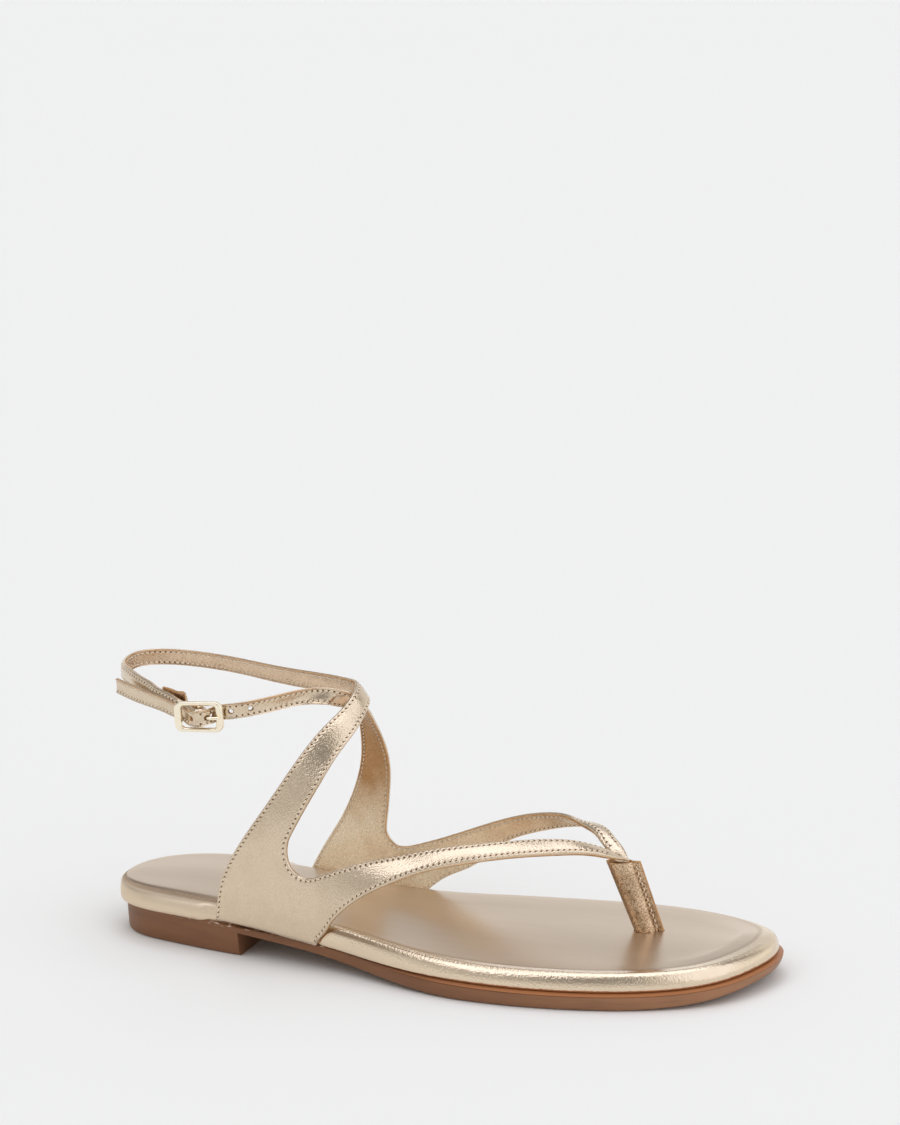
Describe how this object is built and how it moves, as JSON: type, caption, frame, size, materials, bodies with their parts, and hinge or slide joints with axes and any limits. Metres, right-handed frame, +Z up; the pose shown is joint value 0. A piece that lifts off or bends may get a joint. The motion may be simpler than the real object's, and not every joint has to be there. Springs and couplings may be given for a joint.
{
  "type": "toe post sandal",
  "caption": "Flat sandal for the right foot with a toe post, crossed leather straps, a buckled ankle strap, a padded footbed and a low heel.",
  "frame": {"origin": "on the floor under the middle of the shoe's box", "axes": "+X from the heel to the toe, +Y to the medial side, +Z up"},
  "size_m": [0.255, 0.0932, 0.0982],
  "materials": {
    "outsole_rubber": "moulded semi-matte brown rubber",
    "footbed_leather": "smooth satin leather, champagne beige with a slight metallic sheen",
    "upper_leather": "metallic champagne gold leather with a fine grain, stitched along its edges",
    "buckle_metal": "polished pale gold plating"
  },
  "bodies": {
    "root": {"outsole": "outsole_rubber", "footbed": "footbed_leather", "upper": "upper_leather", "toe_post": "upper_leather", "buckle_frame": "buckle_metal", "buckle_pin": "buckle_metal"}
  },
  "joints": []
}
